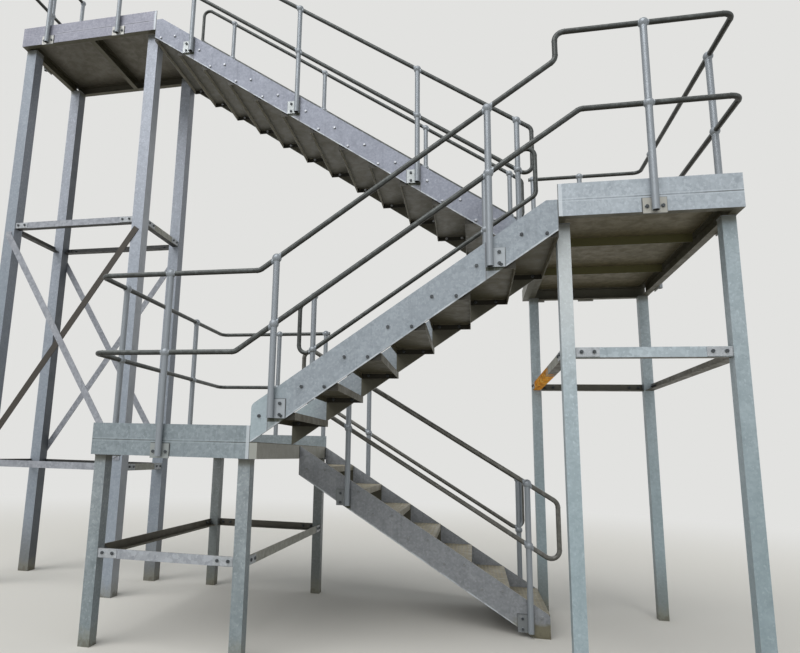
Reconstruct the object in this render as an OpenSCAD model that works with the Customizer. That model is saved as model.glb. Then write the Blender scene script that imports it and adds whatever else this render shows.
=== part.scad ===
// Two-lane fire escape stair tower of galvanised steel.
// X runs along the flights, Y runs from the open side to the wall side, Z is up.
// Three flights climb between three landings that stand on square hollow posts.

/* [Steps] */
// Height of one step of the middle and upper flights
riser = 185; // [150:1:225]
// Height of one step of the ground flight
ground_riser = 162.5; // [130:0.5:200]
// Going of one step, nosing to nosing
going = 268; // [220:1:330]
// Number of risers from the ground to the low landing
ground_risers = 8; // [6:1:10]
// Number of risers from the low landing to the middle landing
middle_risers = 8; // [6:1:10]
// Number of risers from the middle landing to the top landing
upper_risers = 14; // [12:1:16]
// How far a tread laps over the one below it
tread_lap = 16; // [0:1:30]
// Thickness of the folded tread plate
tread_t = 5; // [3:0.5:8]
// Depth of the folded edges of a tread
tread_fold = 46; // [30:1:60]
// Thickness of the plates at the ends of a tread
tread_end_t = 6; // [4:1:10]

/* [Stringers] */
// Width of a flight over its two stringers
lane_w = 960; // [800:5:1300]
// Clear space between the two lanes
lane_gap = 230; // [130:5:300]
// Thickness of a stringer plate
stringer_t = 12; // [8:1:20]
// Width of the stringer plates
stringer_w = 195; // [170:1:240]
// Vertical height of the middle and upper stringers above their line of nosings
stringer_above = 46; // [20:1:70]
// The same for the ground flight, whose nosings stand a little proud
ground_above = -5; // [-20:1:70]
// Radius at the upper corner of a stringer's foot
foot_round = 45; // [10:1:80]

/* [Landings] */
// Length of the low landing
low_len = 1100; // [900:5:1500]
// Length of the middle landing
middle_len = 1000; // [900:5:1500]
// Length of the top landing
top_len = 1500; // [1100:5:1900]
// Depth of the edge beams
beam_h = 100; // [80:1:150]
// Width of the edge beams' flanges
beam_b = 50; // [40:1:70]
// Thickness of the edge beams' webs and flanges
beam_t = 7; // [5:0.5:10]
// Thickness of the landing decks
deck_t = 6; // [4:0.5:10]
// Height of the toe plates above the deck
toe_h = 100; // [80:1:150]
// Thickness of the toe plates
toe_t = 6; // [4:0.5:10]
// Depth of the stiffeners under the decks
stiff_h = 60; // [40:1:80]

/* [Posts] */
// Side of the low landing's posts
low_post = 80; // [60:1:110]
// Side of the middle landing's posts
middle_post = 76; // [60:1:110]
// Side of the top landing's posts
top_post = 110; // [60:1:130]
// Wall thickness of the posts
post_wall = 5; // [3:0.5:8]
// Thickness of the plates that close the posts at the floor
base_t = 10; // [6:1:16]
// How far the low landing's front posts stand back from its open side
low_recess = 45; // [10:5:150]
// How far the middle landing's front posts stand back from its open side
middle_recess = 125; // [10:5:150]
// How far the top landing's front posts stand back from its open side
top_recess = 75; // [20:5:150]
// Height of the low landing's ring of braces
low_ring_z = 540; // [300:10:900]
// Height of the middle landing's ring of braces
middle_ring_z = 1840; // [1200:10:2400]
// Height of the top landing's lower ring of braces
top_ring_low_z = 1040; // [600:10:1400]
// Height of the top landing's upper ring of braces
top_ring_high_z = 3320; // [2600:10:4200]
// Leg of the brace angles
brace_w = 60; // [40:1:60]
// Thickness of the brace angles
brace_t = 6; // [4:0.5:10]

/* [Handrails] */
// Height of the top rail over a landing
rail_h = 1100; // [900:10:1200]
// Height of the knee rail over a landing
knee_h = 565; // [450:5:620]
// Height of a flight's top rail over the line of nosings
flight_rail_h = 900; // [850:5:1000]
// Height of a flight's knee rail over the line of nosings
flight_knee_h = 465; // [400:5:520]
// How much lower the ground flight's rails and standards sit over its nosings
ground_rail_drop = 80; // [0:5:120]
// Diameter of the rails
rail_d = 34; // [26:1:48]
// Diameter of the standards
post_d = 42; // [34:1:50]
// Diameter of the balls where a rail passes a standard
ball_d = 62; // [52:1:75]
// Bend radius of the rails at a corner
bend_r = 60; // [40:1:90]
// Thickness of the standards' fixing plates
foot_t = 8; // [6:1:12]
// Width of the fixing plates on a landing
foot_w = 130; // [100:1:160]
// Height of the fixing plates on a landing
foot_h = 94; // [70:1:100]
// Width of the fixing plates on a flight
flight_foot_w = 110; // [90:1:140]
// Height of the fixing plates on a flight
flight_foot_h = 120; // [80:1:130]
// Depth of a flight standard's foot below the line of nosings
flight_foot_drop = 130; // [100:1:150]

/* [Hidden] */

zinc = [0.62, 0.65, 0.67];
zinc_dark = [0.42, 0.44, 0.45];
zinc_rail = [0.34, 0.36, 0.37];

// Levels of the three decks
low_z = ground_risers * ground_riser;
mid_z = low_z + middle_risers * riser;
top_z = mid_z + upper_risers * riser;
slope = riser / going;

// Depth positions of the stringers' outer faces
depth = 2 * lane_w + lane_gap;
back_y = lane_w + lane_gap;

// Length positions: the middle flight starts at x = 0
ground_x = (ground_risers - 1) * going;
mid_x0 = (middle_risers - 1) * going;
mid_x1 = mid_x0 + middle_len;
top_x1 = mid_x0 - (upper_risers - 1) * going;
top_x0 = top_x1 - top_len;
centre_x = (top_x0 + mid_x1) / 2;

// Handrails stand outside the stringers and edge beams, their standards let into the fixing plates
foot_seat = 2;
rail_off = foot_t + post_d / 2 - foot_seat;
rail_r = rail_d / 2;
beam_z = deck_t + beam_h;

module placed() translate([-centre_x, -depth / 2, 0]) children();

// An outline in X and Z drawn through Y from y0 to y1
module along_y(y0, y1) translate([0, y1, 0]) rotate([90, 0, 0]) linear_extrude(y1 - y0) children();
// An outline in Y and Z drawn through X from x0 to x1
module along_x(x0, x1) translate([x0, 0, 0]) rotate([90, 0, 90]) linear_extrude(x1 - x0) children();

module channel_outline(h, b, t)
    polygon([[0, 0], [b, 0], [b, t], [t, t], [t, h - t], [b, h - t], [b, h], [0, h]]);

module angle_outline(w, t) polygon([[0, 0], [w, 0], [w, t], [t, t], [t, w], [0, w]]);

function unit(v) = v / norm(v);

// Height of a flight's nosing line over its lower floor, for steps of height r
function pitch(x, r = riser) = r + x * r / going;

// How far a welded joint stands proud of a rail
weld_proud = 0.8;
weld_w = 8;

// A round rail through points, with a torus of radius bend at each inner point and a weld at its ends
module bent_tube(points, r, bend) {
    last = len(points) - 1;
    dirs = [for (i = [0 : last - 1]) unit(points[i + 1] - points[i])];
    turns = [for (i = [0 : last]) (i == 0 || i == last) ? 0 : acos(dirs[i - 1] * dirs[i])];
    cuts = [for (a = turns) bend * tan(a / 2)];
    for (i = [0 : last - 1]) {
        a = points[i] + cuts[i] * dirs[i];
        b = points[i + 1] - cuts[i + 1] * dirs[i];
        rod(a, b, r);
    }
    for (i = [1 : 1 : last - 1]) {
        inward = unit(dirs[i] - (dirs[i] * dirs[i - 1]) * dirs[i - 1]);
        hub = points[i] - cuts[i] * dirs[i - 1] + bend * inward;
        ex = -inward;
        ey = dirs[i - 1];
        ez = cross(ex, ey);
        multmatrix([[ex[0], ey[0], ez[0], hub[0]], [ex[1], ey[1], ez[1], hub[1]],
            [ex[2], ey[2], ez[2], hub[2]], [0, 0, 0, 1]])
            rotate_extrude(angle = turns[i], $fn = 64) translate([bend, 0]) circle(r, $fn = 20);
        for (weld = [[points[i] - cuts[i] * dirs[i - 1], weld_w / 2 * dirs[i - 1]],
            [points[i] + cuts[i] * dirs[i], weld_w / 2 * dirs[i]]])
            rod(weld[0] - weld[1], weld[0] + weld[1], r + weld_proud);
    }
}

// A round bar from a to b
module rod(a, b, r) {
    d = b - a;
    turn_z = atan2(d[1], d[0]);
    turn_y = acos(d[2] / norm(d));
    translate(a) rotate([0, turn_y, turn_z]) cylinder(h = norm(d), r = r, $fn = 20);
}

// The round upper corner of a stringer's foot, from its upright end to its sloping edge
function foot_corner(h, lean) = let (reach = foot_round * tan((90 - lean) / 2))
    [for (i = [0 : 6]) let (a = 180 - i * (90 - lean) / 6)
        [foot_round + foot_round * cos(a), h - reach + foot_round * sin(a)]];

// A flight's side: x counts along the flight from its lower end, z from its lower floor
module flight_outline(risers, r, above) {
    lean = atan(r / going);
    below = stringer_w / cos(lean) - above;
    run = (risers - 1) * going;
    rise = risers * r;
    low_x = max((below - r) * going / r, 8);
    end_z = rise + min(above, 0);
    flat_end = above > 0 ? [[run - above * going / r, rise]] : [];
    polygon(concat([[0, 0], [low_x, pitch(low_x, r) - below], [run, rise - below], [run, end_z]],
        flat_end, [for (i = [6 : -1 : 0]) foot_corner(r + above, lean)[i]]));
}

module stringer(risers, y, r = riser, above = stringer_above) along_y(y, y + stringer_t)
    flight_outline(risers, r, above);

// The folded plate of one tread, with the plates that fasten it to the stringers
module tread(y0, tread_d) {
    inner0 = y0 + stringer_t;
    inner1 = y0 + lane_w - stringer_t;
    along_y(inner0 + tread_end_t, inner1 - tread_end_t) difference() {
        translate([0, -tread_fold]) square([tread_d, tread_fold]);
        translate([tread_t, -tread_fold - 1]) square([tread_d - 2 * tread_t, tread_fold + 1 - tread_t]);
    }
    for (y = [inner0, inner1 - tread_end_t]) along_y(y, y + tread_end_t)
        translate([0, -tread_fold]) square([tread_d, tread_fold]);
}

module treads(risers, y0, r = riser) for (k = [1 : risers - 1])
    translate([(k - 1) * going, 0, k * r]) tread(y0, going + (k < risers - 1 ? tread_lap : 0));

// One standard: a tube from its foot to the top rail, with a ball at each rail
module standard(x, y, z_foot, z_rails) {
    translate([x, y, z_foot]) cylinder(h = z_rails[0] - z_foot, d = post_d, $fn = 24);
    for (z = z_rails) translate([x, y, z]) sphere(d = ball_d, $fn = 24);
}

// The fixing plate of a standard on a face that looks along Y
module foot_plate_y(x, face, z) translate([x - foot_w / 2, face, z]) cube([foot_w, foot_t, foot_h]);
module foot_plate_x(face, y, z) translate([face, y - foot_w / 2, z]) cube([foot_t, foot_w, foot_h]);

// Standards of a flight: steps lists the treads that carry one, drop lowers them with their rails
module flight_standards(steps, y, face, r = riser, drop = 0) for (k = steps) {
    x = (k - 0.5) * going;
    z = pitch(x, r) - drop;
    z0 = z - flight_foot_drop;
    standard(x, y, z0, [z + flight_rail_h, z + flight_knee_h]);
    translate([x - post_d / 2, face, z0]) cube([flight_foot_w, foot_t, flight_foot_h]);
}

module middle_front_stringer() color(zinc) placed() translate([0, 0, low_z]) stringer(middle_risers, 0);
module middle_back_stringer() color(zinc) placed() translate([0, 0, low_z])
    stringer(middle_risers, lane_w - stringer_t);
module middle_treads() color(zinc_dark) placed() translate([0, 0, low_z]) treads(middle_risers, 0);

// The ground and upper flights climb towards the left, so they are turned about
module ground_flight() placed() translate([ground_x, 0, 0]) mirror([1, 0, 0]) children();
module upper_flight() placed() translate([mid_x0, 0, mid_z]) mirror([1, 0, 0]) children();

module ground_front_stringer() color(zinc) ground_flight()
    stringer(ground_risers, back_y, ground_riser, ground_above);
module ground_back_stringer() color(zinc) ground_flight()
    stringer(ground_risers, depth - stringer_t, ground_riser, ground_above);
module ground_treads() color(zinc_dark) ground_flight() treads(ground_risers, back_y, ground_riser);
module upper_front_stringer() color(zinc) upper_flight() stringer(upper_risers, back_y);
module upper_back_stringer() color(zinc) upper_flight() stringer(upper_risers, depth - stringer_t);
module upper_treads() color(zinc_dark) upper_flight() treads(upper_risers, back_y);

// A flight's pair of rails that meet in a closed loop at both ends
module looped_rails(x0, x1, y, r = riser, drop = 0) {
    top = flight_rail_h - drop;
    knee = flight_knee_h - drop;
    mid = (x0 + x1) / 2;
    for (x = [x0, x1])
        bent_tube([[mid, y, pitch(mid, r) + top], [x, y, pitch(x, r) + top],
            [x, y, pitch(x, r) + knee], [mid, y, pitch(mid, r) + knee]], rail_r, bend_r);
}

// How far a loop's end stops short of the first and the last nosing
loop_short = 20;
ground_loop_past = 75;
ground_loop_short = 100;
function run_of(risers) = (risers - 1) * going;

module ground_front_rail() color(zinc_rail) ground_flight() {
    y = back_y - rail_off;
    looped_rails(-ground_loop_past, run_of(ground_risers) - loop_short, y, ground_riser, ground_rail_drop);
    flight_standards([1, ground_risers - 2], y, back_y - foot_t, ground_riser, ground_rail_drop);
}
module ground_back_rail() color(zinc_rail) ground_flight() {
    y = depth + rail_off;
    looped_rails(ground_loop_short, run_of(ground_risers) - loop_short, y, ground_riser, ground_rail_drop);
    flight_standards([1, ground_risers - 2], y, depth, ground_riser, ground_rail_drop);
}

// Where a flight's rails meet a landing's, and where the top rail steps up to the landing's height
joint_run = 200;
step_past = 15;
// The middle flight's front rails bend level into the rails of both landings
module middle_front_rail() color(zinc_rail) placed() translate([0, 0, low_z]) {
    y = -rail_off;
    run = run_of(middle_risers);
    rise = middle_risers * riser;
    top_x = (rail_h - riser - flight_rail_h) / slope;
    knee_x = (knee_h - riser - flight_knee_h) / slope;
    knee_end = run + (knee_h - flight_knee_h) / slope;
    bent_tube([[-joint_run, y, rail_h], [top_x, y, rail_h],
        [run + step_past, y, rise + flight_rail_h + step_past * slope],
        [run + step_past, y, rise + rail_h], [run + joint_run, y, rise + rail_h]], rail_r, bend_r);
    bent_tube([[-joint_run, y, knee_h], [knee_x, y, knee_h], [knee_end, y, rise + knee_h],
        [run + joint_run, y, rise + knee_h]], rail_r, bend_r);
    flight_standards([1, middle_risers - 2], y, -foot_t);
}
module middle_back_rail() color(zinc_rail) placed() translate([0, 0, low_z]) {
    y = lane_w + rail_off;
    looped_rails(loop_short, run_of(middle_risers) - loop_short, y);
    flight_standards([1, middle_risers - 2], y, lane_w);
}

// The upper flight's front rails start in a loop and bend level into the top landing's rails
upper_standards = [1, 4, 8, 12];
module upper_front_rail() color(zinc_rail) upper_flight() {
    y = back_y - rail_off;
    run = run_of(upper_risers);
    rise = upper_risers * riser;
    knee_end = run + (knee_h - flight_knee_h) / slope;
    bent_tube([[run + joint_run, y, rise + rail_h], [run + step_past, y, rise + rail_h],
        [run + step_past, y, rise + flight_rail_h + step_past * slope],
        [loop_short, y, pitch(loop_short) + flight_rail_h],
        [loop_short, y, pitch(loop_short) + flight_knee_h],
        [knee_end, y, rise + knee_h], [run + joint_run, y, rise + knee_h]], rail_r, bend_r);
    flight_standards(upper_standards, y, back_y - foot_t);
}
module upper_back_rail() color(zinc_rail) upper_flight() {
    y = depth + rail_off;
    looped_rails(loop_short, run_of(upper_risers) - loop_short, y);
    flight_standards(upper_standards, y, depth);
}

// Edge beams along X at the front and back of a landing
module long_beams(x0, x1, y0, y1, z) {
    along_x(x0, x1) translate([y0, z - beam_z]) channel_outline(beam_h, beam_b, beam_t);
    along_x(x0, x1) translate([y1, z - beam_z]) mirror([1, 0]) channel_outline(beam_h, beam_b, beam_t);
}

// An edge beam along Y, with its web at x and its flanges towards side
module cross_beam(x, side, y0, y1, z) along_y(y0, y1) translate([x, z - beam_z])
    mirror([side < 0 ? 1 : 0, 0]) channel_outline(beam_h, beam_b, beam_t);

module stiffener_x(x0, x1, y, z) along_x(x0, x1) translate([y, z - deck_t - stiff_h])
    mirror([0, 1]) translate([0, -stiff_h]) angle_outline(stiff_h, brace_t);

module deck(x0, x1, y0, y1, z) translate([x0, y0, z - deck_t]) cube([x1 - x0, y1 - y0, deck_t]);

// The bearer that a flight's foot stands on lies outside the landing's own edge beam. A plate
// closes it at both ends.
bearer_past = 40;
module bearer(x, side, y0, y1, z) {
    cross_beam(x, side, y0 + beam_t, y1 - beam_t, z);
    for (y = [y0, y1 - beam_t]) translate([min(x, x + side * beam_b), y, z - beam_z])
        cube([beam_b, beam_t, beam_h]);
}
module low_long_beams() color(zinc) placed() long_beams(-low_len, 0, 0, depth, low_z);
module low_cross_beams() color(zinc) placed() {
    cross_beam(-low_len, 1, beam_b, depth - beam_b, low_z);
    cross_beam(0, -1, beam_b, depth - beam_b, low_z);
    for (y = [depth / 3, 2 * depth / 3]) stiffener_x(-low_len + beam_b, -beam_b, y, low_z);
}
module low_bearer() color(zinc) placed() bearer(beam_b, -1, 0, lane_w + bearer_past, low_z);
module low_deck() color(zinc_dark) placed() deck(-low_len + toe_t, 0, toe_t, depth - toe_t, low_z);
module low_toe_plates() color(zinc) placed() {
    z = low_z - deck_t;
    translate([-low_len, 0, z]) cube([low_len, toe_t, toe_h + deck_t]);
    translate([-low_len, toe_t, z]) cube([toe_t, depth - 2 * toe_t, toe_h + deck_t]);
    translate([-low_len, depth - toe_t, z]) cube([low_len, toe_t, toe_h + deck_t]);
}

module mid_long_beams() color(zinc) placed() long_beams(mid_x0, mid_x1, 0, depth, mid_z);
module mid_cross_beams() color(zinc) placed() {
    cross_beam(mid_x0, 1, beam_b, depth - beam_b, mid_z);
    cross_beam(mid_x1, -1, beam_b, depth - beam_b, mid_z);
    for (y = [depth / 3, 2 * depth / 3]) stiffener_x(mid_x0 + beam_b, mid_x1 - beam_b, y, mid_z);
}
module mid_bearer() color(zinc) placed()
    bearer(mid_x0 - beam_b, 1, back_y - bearer_past, depth, mid_z);
module mid_deck() color(zinc_dark) placed() deck(mid_x0, mid_x1 - toe_t, toe_t, depth - toe_t, mid_z);
module mid_toe_plates() color(zinc) placed() {
    z = mid_z - deck_t;
    translate([mid_x0, 0, z]) cube([middle_len, toe_t, toe_h + deck_t]);
    translate([mid_x1 - toe_t, toe_t, z]) cube([toe_t, depth - 2 * toe_t, toe_h + deck_t]);
    translate([mid_x0, depth - toe_t, z]) cube([middle_len, toe_t, toe_h + deck_t]);
}

module top_long_beams() color(zinc) placed() long_beams(top_x0, top_x1, back_y, depth, top_z);
module top_cross_beams() color(zinc) placed() {
    cross_beam(top_x0, 1, back_y + beam_b, depth - beam_b, top_z);
    cross_beam(top_x1, -1, back_y + beam_b, depth - beam_b, top_z);
    cross_beam((top_x0 + top_x1) / 2, 1, back_y + beam_b, depth - beam_b, top_z);
}
module top_deck() color(zinc_dark) placed() deck(top_x0 + toe_t, top_x1, back_y + toe_t, depth, top_z);
module top_toe_plates() color(zinc) placed() {
    z = top_z - deck_t;
    translate([top_x0, back_y, z]) cube([top_len, toe_t, toe_h + deck_t]);
    translate([top_x0, back_y + toe_t, z]) cube([toe_t, lane_w - toe_t, toe_h + deck_t]);
}

// A square hollow post from the floor to the underside of a beam, with a plate that closes its foot
module post(x, y, w, h) {
    translate([x - w / 2, y - w / 2, 0]) cube([w, w, base_t]);
    translate([x, y, base_t]) linear_extrude(h - base_t) difference() {
        square(w, center = true);
        square(w - 2 * post_wall, center = true);
    }
}

// Four posts between y0 and y1, a little inside the landing's ends, clear of the flights
post_inset = 5;
wall_recess = 25;
module posts(x0, x1, y0, y1, w, h) for (y = [y0 + w / 2, y1 - w / 2]) {
    post(x0 + post_inset + w / 2, y, w, h);
    post(x1 - post_inset - w / 2, y, w, h);
}

module low_posts() color(zinc) placed()
    posts(-low_len, 0, low_recess, depth - wall_recess, low_post, low_z - beam_z);
module mid_posts() color(zinc) placed()
    posts(mid_x0, mid_x1, middle_recess, depth - wall_recess, middle_post, mid_z - beam_z);
module top_posts() color(zinc) placed()
    posts(top_x0, top_x1, back_y + top_recess, depth - wall_recess, top_post, top_z - beam_z);

// Brace angles between the posts, along X and along Y, a little behind the posts' outer faces
function brace_in(w) = min(12, (w - brace_w) / 2);
module braces_x(x0, x1, y0, y1, w, z) {
    a = x0 + post_inset + w;
    b = x1 - post_inset - w;
    along_x(a, b) translate([y0 + brace_in(w), z]) angle_outline(brace_w, brace_t);
    along_x(a, b) translate([y1 - brace_in(w), z]) mirror([1, 0]) angle_outline(brace_w, brace_t);
}
module braces_y(x0, x1, y0, y1, w, z) {
    side = post_inset + brace_in(w);
    along_y(y0 + w, y1 - w) translate([x0 + side, z]) angle_outline(brace_w, brace_t);
    along_y(y0 + w, y1 - w) translate([x1 - side, z]) mirror([1, 0]) angle_outline(brace_w, brace_t);
}

module low_long_braces() color(zinc) placed()
    braces_x(-low_len, 0, low_recess, depth - wall_recess, low_post, low_ring_z);
module low_cross_braces() color(zinc) placed()
    braces_y(-low_len, 0, low_recess, depth - wall_recess, low_post, low_ring_z);
module mid_long_braces() color(zinc) placed()
    braces_x(mid_x0, mid_x1, middle_recess, depth - wall_recess, middle_post, middle_ring_z);
module mid_cross_braces() color(zinc) placed()
    braces_y(mid_x0, mid_x1, middle_recess, depth - wall_recess, middle_post, middle_ring_z);
module top_long_braces() color(zinc) placed() for (z = [top_ring_low_z, top_ring_high_z])
    braces_x(top_x0, top_x1, back_y + top_recess, depth - wall_recess, top_post, z);
module top_cross_braces() color(zinc) placed() for (z = [top_ring_low_z, top_ring_high_z])
    braces_y(top_x0, top_x1, back_y + top_recess, depth - wall_recess, top_post, z);

// A flat bar across a face of the top landing's tower, drawn in X and Z
module flat_bar(xa, za, xb, zb) {
    run = xb - xa;
    rise = zb - za;
    translate([xa, za]) rotate(atan2(rise, run)) translate([0, -brace_w / 2])
        square([norm([run, rise]), brace_w]);
}

// Crossed flat bars between the rings, the outer one on packing plates at its ends
module cross_pair(face, out) {
    xa = top_x0 + post_inset + top_post / 2;
    xb = top_x1 - post_inset - top_post / 2;
    za = top_ring_low_z + 2 * brace_w;
    zb = top_ring_high_z - brace_w;
    inner = out > 0 ? face : face - brace_t;
    outer = inner + out * brace_t;
    along_y(inner, inner + brace_t) flat_bar(xa, za, xb, zb);
    along_y(outer, outer + brace_t) flat_bar(xa, zb, xb, za);
    for (end = [[xa, zb], [xb, za]]) along_y(inner, inner + brace_t)
        translate([end[0] - brace_w / 2, end[1] - brace_w / 2]) square(brace_w);
}
module top_diagonals() color(zinc) placed() {
    cross_pair(back_y + top_recess, -1);
    cross_pair(depth - wall_recess, 1);
}

// How far a fixing plate hangs below a beam, and length of a corner's short leg
foot_past = 12;
corner_run = 150;
// Where along a landing's side its standards stand, as shares of the depth
low_shares = [0.145, 0.715];
mid_shares = [0.186, 0.837];

// Rails of a landing that run along X, with their standards
module landing_rails_x(x0, x1, y, face, z, at) {
    for (h = [rail_h, knee_h]) rod([x0, y, z + h], [x1, y, z + h], rail_r);
    for (x = at) {
        standard(x, y, z - beam_z, [z + rail_h, z + knee_h]);
        foot_plate_y(x, face, z - beam_z - foot_past);
    }
}

// Rails along Y that turn the corners onto the front and back of a landing
module landing_rails_y(x, y0, y1, turn, face, z, at) {
    for (h = [rail_h, knee_h])
        bent_tube([[x + turn, y0, z + h], [x, y0, z + h], [x, y1, z + h], [x + turn, y1, z + h]],
            rail_r, bend_r);
    for (y = at) {
        standard(x, y, z - beam_z, [z + rail_h, z + knee_h]);
        foot_plate_x(face, y, z - beam_z - foot_past);
    }
}

module low_front_rail() color(zinc_rail) placed()
    landing_rails_x(-low_len - rail_off + corner_run, -joint_run, -rail_off, -foot_t, low_z,
        [-0.55 * low_len]);
module low_back_rail() color(zinc_rail) placed()
    landing_rails_x(-low_len - rail_off + corner_run, 0, depth + rail_off, depth, low_z,
        [-0.47 * low_len, -40]);
module low_side_rail() color(zinc_rail) placed() landing_rails_y(-low_len - rail_off, -rail_off,
    depth + rail_off, corner_run, -low_len - foot_t, low_z, depth * low_shares);

module mid_front_rail() color(zinc_rail) placed()
    landing_rails_x(mid_x0 + joint_run, mid_x1 + rail_off - corner_run, -rail_off, -foot_t, mid_z,
        [mid_x0 + 0.53 * middle_len]);
module mid_back_rail() color(zinc_rail) placed()
    landing_rails_x(mid_x0 + 40, mid_x1 + rail_off - corner_run, depth + rail_off, depth, mid_z,
        [mid_x0 + 80, mid_x0 + middle_len / 2]);
module mid_side_rail() color(zinc_rail) placed() landing_rails_y(mid_x1 + rail_off, -rail_off,
    depth + rail_off, -corner_run, mid_x1, mid_z, depth * mid_shares);

module top_front_rail() color(zinc_rail) placed()
    landing_rails_x(top_x0 - rail_off + corner_run, top_x1 - joint_run, back_y - rail_off,
        back_y - foot_t, top_z,
        [top_x0 + 0.2 * top_len, top_x0 + 0.73 * top_len]);
module top_side_rail() color(zinc_rail) placed() {
    x = top_x0 - rail_off;
    y0 = back_y - rail_off;
    y1 = depth - 60;
    for (h = [rail_h, knee_h])
        bent_tube([[x + corner_run, y0, top_z + h], [x, y0, top_z + h], [x, y1, top_z + h]], rail_r, bend_r);
    for (y = [back_y + 0.43 * lane_w, y1]) {
        standard(x, y, top_z - beam_z, [top_z + rail_h, top_z + knee_h]);
        foot_plate_x(top_x0 - foot_t, y, top_z - beam_z - foot_past);
    }
}

ground_front_stringer();
ground_back_stringer();
ground_treads();
ground_front_rail();
ground_back_rail();
middle_front_stringer();
middle_back_stringer();
middle_treads();
middle_front_rail();
middle_back_rail();
upper_front_stringer();
upper_back_stringer();
upper_treads();
upper_front_rail();
upper_back_rail();
low_long_beams();
low_cross_beams();
low_bearer();
low_deck();
low_toe_plates();
low_posts();
low_long_braces();
low_cross_braces();
low_front_rail();
low_side_rail();
low_back_rail();
mid_long_beams();
mid_cross_beams();
mid_bearer();
mid_deck();
mid_toe_plates();
mid_posts();
mid_long_braces();
mid_cross_braces();
mid_front_rail();
mid_side_rail();
mid_back_rail();
top_long_beams();
top_cross_beams();
top_deck();
top_toe_plates();
top_posts();
top_long_braces();
top_cross_braces();
top_diagonals();
top_front_rail();
top_side_rail();
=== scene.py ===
"""Looks of the fire escape stair tower: galvanised steel, its bolts, welds and raised tread pattern."""

import math
import random
from collections import namedtuple

import bpy
from mathutils import Matrix, Vector


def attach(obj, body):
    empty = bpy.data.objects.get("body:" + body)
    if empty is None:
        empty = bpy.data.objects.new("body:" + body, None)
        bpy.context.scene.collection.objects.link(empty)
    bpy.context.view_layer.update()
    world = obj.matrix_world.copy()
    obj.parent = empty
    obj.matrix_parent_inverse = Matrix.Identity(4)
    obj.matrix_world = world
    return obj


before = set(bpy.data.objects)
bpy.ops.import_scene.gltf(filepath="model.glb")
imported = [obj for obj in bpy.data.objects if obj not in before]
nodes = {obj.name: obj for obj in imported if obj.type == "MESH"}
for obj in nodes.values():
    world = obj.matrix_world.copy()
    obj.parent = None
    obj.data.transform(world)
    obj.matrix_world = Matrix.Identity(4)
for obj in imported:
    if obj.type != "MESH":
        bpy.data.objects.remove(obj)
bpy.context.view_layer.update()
scene = bpy.context.scene
rng = random.Random(7)

# Sizes in mm, as in part.scad: x = 0 at the middle flight's foot, y = 0 at the open side
RISER, GROUND_RISER, GOING = 185.0, 162.5, 268.0
LANE_W, BACK_Y, DEPTH = 960.0, 1190.0, 2150.0
LOW_Z, MID_Z, TOP_Z = 1300.0, 2780.0, 5370.0
LOW_X0, MID_X0, MID_X1, TOP_X0, TOP_X1 = -1100.0, 1876.0, 2876.0, -3108.0, -1608.0
CENTRE_X, CENTRE_Y = -116.0, 1075.0
STRINGER_W, STRINGER_T, STRINGER_ABOVE, GROUND_ABOVE = 195.0, 12.0, 46.0, -5.0
TREAD_END_T, DECK_T, BEAM_Z = 6.0, 6.0, 106.0
POST_INSET, WALL_RECESS = 5.0, 25.0
BRACE_W, BRACE_T, BAR_T = 60.0, 6.0, 6.0
# The standards' fixing plates: how far they start below the line of nosings or below the beams' underside
FOOT_T, FLIGHT_FOOT_DROP, FLIGHT_FOOT_H = 8.0, 130.0, 120.0
LANDING_FOOT_PAST, LANDING_FOOT_W, LANDING_FOOT_H = 12.0, 130.0, 94.0
# Over the line of nosings or the deck: fixing plates lie below the first two, the rails above the third
FLIGHT_FOOT_TOP, LANDING_FOOT_TOP, RAILS_FROM = 22.0, -22.0, 125.0
RAIL_OFF, BALL_R, GROUND_RAIL_DROP = 27.0, 31.0, 80.0


def at(x, y, z):
    """A point given in mm, in the part's frame and in metres."""
    return Vector(((x - CENTRE_X) / 1000, (y - CENTRE_Y) / 1000, z / 1000))


def metres(axis, value):
    """One coordinate of a place in mm, in the part's frame and in metres."""
    return at(value, value, value)["xyz".index(axis)]


def crossing(axis):
    """The level axis across another one."""
    return "y" if axis == "x" else "x"


def outward(axis, way):
    """The direction out of an upright face that runs along an axis."""
    return Vector((0, way, 0)) if axis == "x" else Vector((way, 0, 0))


class Flight:
    """Where one flight's steps lie: u counts along it from its lower end."""

    def __init__(self, name, x, z, way, y0, steps, riser):
        self.name, self.x, self.z, self.way = name, x, z, way
        self.y0, self.y1, self.steps, self.riser = y0, y0 + LANE_W, steps, riser

    def point(self, u, y, h):
        return at(self.x + self.way * u, y, self.z + h)

    def nosing(self, u):
        return self.riser + u * self.riser / GOING

    def face(self, side):
        """Where its front face (side -1) or its back face (side 1) is."""
        return self.y0 if side < 0 else self.y1

    def span(self, u0, u1):
        """The x of two places along it, the lower value first."""
        return sorted((self.x + self.way * u0, self.x + self.way * u1))


def tread_middle(k):
    """How far along a flight the middle of tread k is, where a standard stands."""
    return (k - 0.5) * GOING


FLIGHTS = {
    "ground": Flight("ground", MID_X0, 0, -1, BACK_Y, 7, GROUND_RISER),
    "middle": Flight("middle", 0, LOW_Z, 1, 0, 7, RISER),
    "upper": Flight("upper", MID_X0, MID_Z, -1, BACK_Y, 13, RISER),
}
# node: (flight, side, treads with a standard, how much lower the rails sit)
FLIGHT_RAILS = {
    "ground_front_rail": ("ground", -1, (1, 6), GROUND_RAIL_DROP),
    "ground_back_rail": ("ground", 1, (1, 6), GROUND_RAIL_DROP),
    "middle_front_rail": ("middle", -1, (1, 6), 0),
    "middle_back_rail": ("middle", 1, (1, 6), 0),
    "upper_front_rail": ("upper", -1, (1, 4, 8, 12), 0),
    "upper_back_rail": ("upper", 1, (1, 4, 8, 12), 0),
}
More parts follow.
